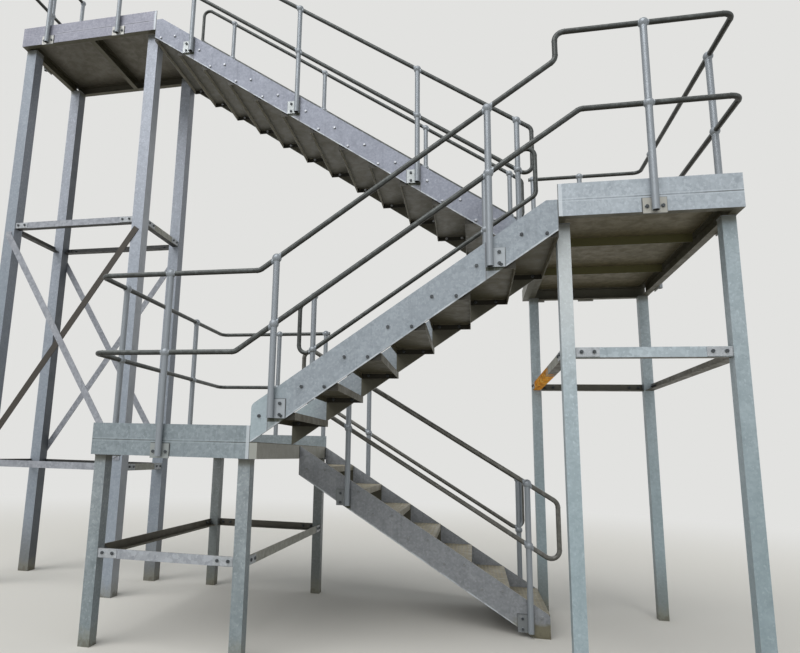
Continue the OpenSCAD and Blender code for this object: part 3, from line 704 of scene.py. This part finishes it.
# Small parts, sizes in mm: a bolt, a tread's two bolts, and a fixing plate's and a cleat's bolts and welds
BOLT_D, WASHER_T, THREAD_PAST = 12.0, 2.3, 6.0
TREAD_BOLTS_U, TREAD_BOLTS_BELOW = (54, 200), 24
FLIGHT_FOOT_BOLTS, FLIGHT_FOOT_WELDS = ((55, 22), (55, 92)), (3, 117)
LANDING_FOOT_BOLTS, LANDING_FOOT_WELDS = ((-43, 42), (43, 42)), (15, 91)
FOOT_WELD_OFF, FOOT_WELD_R, MOUTH_R = 11.5, 4.2, 17
CLEAT_T, CLEAT_L, CLEAT_Z, CLEAT_BOLTS, CLEAT_BOLTS_Z = 5.0, 135, (3, 57), (34, 105), 33
CLEAT_WELD_Z, CLEAT_WELD_R, POST_WELD_R = (5, 55), 3.2, 3.8
RIPPLE, BEAD_SIDES = 3.5, 8


def facing(point, out):
    """A frame at a point whose z axis looks out of the face, turned at random about it."""
    return (Matrix.Translation(point) @ out.to_track_quat("Z", "X").to_matrix().to_4x4()
            @ Matrix.Rotation(rng.uniform(0, math.pi), 4, "Z"))


class Batch:
    """Gathers many small closed shapes, which become one piece."""

    def __init__(self):
        self.verts, self.faces, self.kinds = [], [], []

    def add(self, verts, faces, kind=0):
        first = len(self.verts)
        self.verts += [tuple(v) for v in verts]
        self.faces += [[first + i for i in face] for face in faces]
        self.kinds += [kind] * len(faces)

    def rings(self, place, rings, kind=0):
        """A closed solid whose outline at each level is one ring of (x, y, z) in place's frame."""
        count = len(rings[0])
        verts = [place @ Vector(p) for ring in rings for p in ring]
        faces = [list(range(count))[::-1], [len(verts) - count + i for i in range(count)]]
        for level in range(len(rings) - 1):
            a, b = level * count, (level + 1) * count
            faces += [[a + i, a + (i + 1) % count, b + (i + 1) % count, b + i] for i in range(count)]
        self.add(verts, faces, kind)

    def turned(self, place, profile, sides, kind=0):
        """A turned solid from a profile of (radius, height) pairs in mm."""
        turns = [2 * math.pi * i / sides for i in range(sides)]
        self.rings(place, [[(r / 1000 * math.cos(t), r / 1000 * math.sin(t), h / 1000) for t in turns]
                           for r, h in profile], kind)

    def nut(self, place, across, low, high):
        """A hexagon with its corners chamfered at the top, sizes in mm."""
        apothem, ring_low, ring_mid, ring_top = across / 2, [], [], []
        for i in range(24):
            turn = math.radians(15 * i)
            r = apothem / math.cos((turn + math.pi / 6) % (math.pi / 3) - math.pi / 6)
            drop = max(0.0, (r - apothem * 0.96) * 0.58)
            c, d = math.cos(turn), math.sin(turn)
            ring_low.append((r * c / 1000, r * d / 1000, low / 1000))
            ring_mid.append((r * c / 1000, r * d / 1000, (high - drop) / 1000))
            ring_top.append((apothem * 0.94 * c / 1000, apothem * 0.94 * d / 1000, high / 1000))
        self.rings(place, [ring_low, ring_mid, ring_top])

    def washer(self, place, kind):
        """A washer, of the batch's first material (kind 0) or of its second one (kind 1)."""
        self.turned(place, [(BOLT_D, -0.5), (BOLT_D, 1.8), (BOLT_D * 0.94, 2.4)], 20, kind)

    def bolt_head(self, point, out):
        """A washer and a hexagon head on a face."""
        place = facing(point, out)
        self.washer(place, 1)
        self.nut(place, BOLT_D * 1.58, WASHER_T, WASHER_T + BOLT_D * 0.63)

    def nut_end(self, point, out):
        """A washer, a nut and the threaded end of the bolt that comes through it."""
        place = facing(point, out)
        self.washer(place, 0)
        top = WASHER_T + BOLT_D * 0.83
        self.nut(place, BOLT_D * 1.58, WASHER_T, top)
        level, half = top - 0.3, BOLT_D / 2
        profile = [(half - 0.7, level)]
        while level < top + THREAD_PAST - 1.2:
            profile += [(half, level + 0.6), (half - 0.7, level + 1.4)]
            level += 1.6
        self.turned(place, profile + [(half - 1.6, level + 0.8)], 12)

    def bead(self, path, radius, closed=False):
        """A weld laid along a path of points in metres: close ripples, each one dabbed on the last."""
        points = []
        for a, b in zip(path, path[1:] + path[:1] if closed else path[1:]):
            steps = max(2, round((b - a).length * 1000 / RIPPLE * 2))
            points += [a.lerp(b, i / steps) for i in range(steps)]
        if not closed:
            points.append(path[-1])
        rings = []
        turns = [2 * math.pi * k / BEAD_SIDES for k in range(BEAD_SIDES)]
        for i, p in enumerate(points):
            before = points[i - 1] if i or closed else p
            after = points[(i + 1) % len(points)] if i < len(points) - 1 or closed else p
            along = (after - before).normalized()
            side = along.orthogonal().normalized()
            up = along.cross(side)
            r = radius * (0.86 + 0.16 * (i % 2) + rng.uniform(-0.07, 0.07)) / 1000
            if not closed and i in (0, len(points) - 1):
                r *= 0.55
            rings.append([p + r * (math.cos(t) * side + math.sin(t) * up) for t in turns])
        if closed:
            rings.append(rings[0])
        self.rings(Matrix.Identity(4), rings)

    def box(self, a, b):
        """A plate between any two opposite corners in metres, with its edges broken."""
        (x0, y0, z0), (x1, y1, z1) = ([pick(p) for p in zip(a, b)] for pick in (min, max))
        edge = 0.0006

        def ring(d, z):
            return [(x0 + d, y0 + d, z), (x1 - d, y0 + d, z), (x1 - d, y1 - d, z), (x0 + d, y1 - d, z)]
        self.rings(Matrix.Identity(4), [ring(edge, z0), ring(0, z0 + edge), ring(0, z1 - edge), ring(edge, z1)])

    def piece(self, name, slot, *materials, smooth=False):
        """Makes the batch a piece of the model, which moves with the tower."""
        mesh = bpy.data.meshes.new(name)
        mesh.from_pydata(self.verts, [], self.faces)
        for material in materials:
            mesh.materials.append(material)
        mesh.polygons.foreach_set("material_index", self.kinds)
        mesh.polygons.foreach_set("use_smooth", [smooth] * len(mesh.polygons))
        mesh.update()
        obj = bpy.data.objects.new(name, mesh)
        scene.collection.objects.link(obj)
        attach(obj, "root")


# Two bolts at each end of each tread, their heads outside and their nuts on the tread's end plates
for f in FLIGHTS.values():
    batch = Batch()
    for k in range(1, f.steps + 1):
        for ahead in TREAD_BOLTS_U:
            u, h = (k - 1) * GOING + ahead, k * f.riser - TREAD_BOLTS_BELOW
            for side in (-1, 1):
                inner = f.face(side) - side * (STRINGER_T + TREAD_END_T)
                batch.bolt_head(f.point(u, f.face(side), h), outward("x", side))
                batch.nut_end(f.point(u, inner, h), outward("x", -side))
    heads = {"ground": dusty_zinc, "middle": bolt_zinc, "upper": bright_zinc}[f.name]
    batch.piece(f.name + "_tread_bolts", "structural_steel", heads, washer_zinc)

bolts, welds, mouths = Batch(), Batch(), Batch()


def fix_standard(spot, out, plate_bolts, weld_span, end):
    """One fixing plate's bolts and welds, and a dark disc of painted shade in the open end of its standard.

    spot turns a distance along the plate, one out of its face and a height over its foot into a point."""
    for d, h in plate_bolts:
        bolts.bolt_head(spot(d, FOOT_T, h), out)
    for d in (-FOOT_WELD_OFF, FOOT_WELD_OFF):
        welds.bead([spot(d, FOOT_T + 2, h) for h in weld_span], FOOT_WELD_R)
    mouths.turned(facing(spot(0, RAIL_OFF, end), Vector((0, 0, -1))), [(MOUTH_R, -0.3), (MOUTH_R, 0.4)], 24)


def along(axis, run, across, z):
    """A point at a place along a level axis and one across it."""
    return at(run, across, z) if axis == "x" else at(across, run, z)


for flight, side, treads, drop in FLIGHT_RAILS.values():
    f = FLIGHTS[flight]
    for u in map(tread_middle, treads):
        foot = f.nosing(u) - drop - FLIGHT_FOOT_DROP
        fix_standard(lambda d, off, h: f.point(u + d, f.face(side) + side * off, foot + h), outward("x", side),
                     FLIGHT_FOOT_BOLTS, FLIGHT_FOOT_WELDS, 0)
for axis, face, way, level, stands in LANDING_RAILS.values():
    foot = level - BEAM_Z - LANDING_FOOT_PAST
    for place in stands:
        fix_standard(lambda d, off, h: along(axis, place + d, face + way * off, foot + h), outward(axis, way),
                     LANDING_FOOT_BOLTS, LANDING_FOOT_WELDS, LANDING_FOOT_PAST)
bolts.piece("fixing_plate_bolts", "structural_steel", bolt_zinc, washer_zinc)
welds.piece("fixing_plate_welds", "rail_tube", weld_zinc, smooth=True)
mouths.piece("tube_mouths", "rail_tube", mouth_dark)

cleats, bolts, welds = Batch(), Batch(), Batch()


def fix_brace(axis, start, way, across, side, z):
    """The cleat that one end of a brace is bolted to: it reaches from a post's side at start along the
    axis, and lies against the brace's outer face."""
    def spot(d, off, h):
        return along(axis, start + way * d, across + side * off, z + h)
    cleats.box(spot(0, -CLEAT_T, CLEAT_Z[0]), spot(CLEAT_L, 0, CLEAT_Z[1]))
    for d in CLEAT_BOLTS:
        bolts.bolt_head(spot(d, -CLEAT_T, CLEAT_BOLTS_Z), outward(axis, -side))
        bolts.nut_end(spot(d, BRACE_T, CLEAT_BOLTS_Z), outward(axis, side))
    welds.bead([spot(2, -CLEAT_T, h) for h in CLEAT_WELD_Z], CLEAT_WELD_R)


for t in TOWERS:
    x0, x1, back = t.x0 + POST_INSET, t.x1 - POST_INSET, brace_in(t)
    for z in t.rings:
        for across, side in ((t.y0 + back, 1), (t.y1 - back, -1)):
            for start, way in ((x0 + t.w, 1), (x1 - t.w, -1)):
                fix_brace("x", start, way, across, side, z)
        for across, side in ((x0 + back, 1), (x1 - back, -1)):
            for start, way in ((t.y0 + t.w, 1), (t.y1 - t.w, -1)):
                fix_brace("y", start, way, across, side, z)
    # Welds where the posts meet the beams above them
    z = t.deck - BEAM_Z - 2
    for y in (t.y0, t.y1 - t.w):
        for x in (x0, x1 - t.w):
            welds.bead([at(x, y, z), at(x + t.w, y, z), at(x + t.w, y + t.w, z), at(x, y + t.w, z)], POST_WELD_R,
                       closed=True)
cleats.piece("brace_cleats", "structural_steel", cleat_zinc)
bolts.piece("brace_bolts", "structural_steel", bolt_zinc, washer_zinc)
welds.piece("post_welds", "structural_steel", weld_zinc, smooth=True)

# The raised pattern that the decks and treads are walked on: lozenges, in shares of their length and width
LOZENGE = ((0.5, 0.0), (0.22, 0.5), (-0.22, 0.5), (-0.5, 0.0), (-0.22, -0.5), (0.22, -0.5))
LOZENGE_L, LOZENGE_W, LOZENGE_PITCH = 25, 8, 30.0
# Each level's share of the full outline, and its height over the plate
LOZENGE_LEVELS = ((1.0, -0.3), (0.62, 1.3))
# How far the pattern stays off a deck's outer edges and its inner ones, and off a tread's front, back and sides
OUTER, INNER = 14, 8
TREAD_FRONT, TREAD_BACK, TREAD_SIDE = 14, 2, 24


def grip(name, patches):
    """Lozenges that lie alternately both ways, on flat patches given as x0, x1, y0, y1, z in mm."""
    batch = Batch()
    pitch = LOZENGE_PITCH
    for x0, x1, y0, y1, z in patches:
        cols, rows = int((x1 - x0) // pitch), int((y1 - y0) // pitch)
        for i in range(cols):
            for j in range(rows):
                cx = x0 + (x1 - x0 - cols * pitch) / 2 + (i + 0.5) * pitch
                cy = y0 + (y1 - y0 - rows * pitch) / 2 + (j + 0.5) * pitch
                turn = math.radians(45 if (i + j) % 2 else -45)
                c, d = math.cos(turn), math.sin(turn)
                levels = []
                for share, h in LOZENGE_LEVELS:
                    ring = [(a * LOZENGE_L * share, b * LOZENGE_W * share) for a, b in LOZENGE]
                    levels.append([at(cx + a * c - b * d, cy + a * d + b * c, z + h) for a, b in ring])
                batch.rings(Matrix.Identity(4), levels)
    batch.piece(name, "walking_plate", grip_zinc)


grip("low_deck_grip", [(LOW_X0 + OUTER, -INNER, OUTER, DEPTH - OUTER, LOW_Z)])
grip("mid_deck_grip", [(MID_X0 + INNER, MID_X1 - OUTER, OUTER, DEPTH - OUTER, MID_Z)])
grip("top_deck_grip", [(TOP_X0 + OUTER, TOP_X1 - INNER, BACK_Y + OUTER, DEPTH - INNER, TOP_Z)])
for f in FLIGHTS.values():
    grip(f.name + "_tread_grip",
         [(*f.span((k - 1) * GOING + TREAD_FRONT, k * GOING - TREAD_BACK), f.y0 + TREAD_SIDE, f.y1 - TREAD_SIDE,
           f.z + k * f.riser) for k in range(1, f.steps + 1)])


# Stage: a pale floor that fades into a pale background, soft light from above, more of it on the open side
FLOOR_R, FLOOR_SIDES, FADE_FROM, FADE_TO = 16, 96, 5.0, 13.0
SKY_OPEN, SKY_WALL, LAMP, LAMP_SPREAD, LAMP_UP, LAMP_RIGHT = 0.68, 0.34, 2.0, 55, 50, -20


def floor_material():
    s = Shader("floor")
    away = s.math("SQRT", s.plus(s.times(s.x, s.x), s.times(s.y, s.y)))
    plain = s.add("ShaderNodeBsdfDiffuse", {"Color": FLOOR})
    glow = s.add("ShaderNodeEmission", {"Color": BACKDROP, "Strength": 1.0})
    share = s.times(s.ease(away, FADE_FROM, FADE_TO), s.backdrop_seen())
    mixed = s.add("ShaderNodeMixShader", {0: share, 1: plain.outputs[0], 2: glow.outputs[0]})
    s.add("ShaderNodeOutputMaterial", {0: mixed.outputs[0]})
    return s.mat


scene.world = bpy.data.worlds.new("studio")
sky = Tree(scene.world)
toward = sky.axes(sky.add("ShaderNodeTexCoord").outputs["Generated"])
spread = {"Value": toward[1], "From Min": -1.0, "From Max": 1.0, "To Min": SKY_OPEN, "To Max": SKY_WALL}
light = sky.add("ShaderNodeBackground", {0: SKY, 1: sky.add("ShaderNodeMapRange", spread).outputs[0]})
shown = sky.add("ShaderNodeBackground", {0: BACKDROP, 1: 1.0})
mixed = sky.add("ShaderNodeMixShader", {0: sky.backdrop_seen(), 1: light.outputs[0], 2: shown.outputs[0]})
sky.add("ShaderNodeOutputWorld", {0: mixed.outputs[0]})

floor_mesh = bpy.data.meshes.new("floor")
rim = [2 * math.pi * i / FLOOR_SIDES for i in range(FLOOR_SIDES)]
floor_mesh.from_pydata([(FLOOR_R * math.cos(t), FLOOR_R * math.sin(t), 0.0) for t in rim], [],
                       [list(range(FLOOR_SIDES))])
floor_mesh.materials.append(floor_material())
floor = bpy.data.objects.new("floor", floor_mesh)
scene.collection.objects.link(floor)

# One soft lamp on the camera's side, its direction in degrees up from level and to the right of it
lamp = bpy.data.lights.new("key", "SUN")
lamp.energy, lamp.angle = LAMP, math.radians(LAMP_SPREAD)
key = bpy.data.objects.new("key", lamp)
up, right = math.radians(LAMP_UP), math.radians(LAMP_RIGHT)
from_lamp = Vector((math.cos(up) * math.sin(right), -math.cos(up) * math.cos(right), math.sin(up)))
key.rotation_euler = from_lamp.to_track_quat("Z", "Y").to_euler()
scene.collection.objects.link(key)

# The photograph's viewing angle, fitted to the tower's corners and bolt rows
camera = bpy.data.cameras.new("camera")
camera.lens, camera.sensor_width = 28.315, 36.0
camera.shift_x, camera.shift_y = 0.0897, 0.0106
camera.clip_end = 100.0
eye = bpy.data.objects.new("camera", camera)
eye.location = (1.4705, -4.8513, 1.2469)
eye.rotation_euler = (1.7555, -0.0279, 0.2213)
scene.collection.objects.link(eye)
scene.camera = eye

scene.view_settings.view_transform = "Standard"
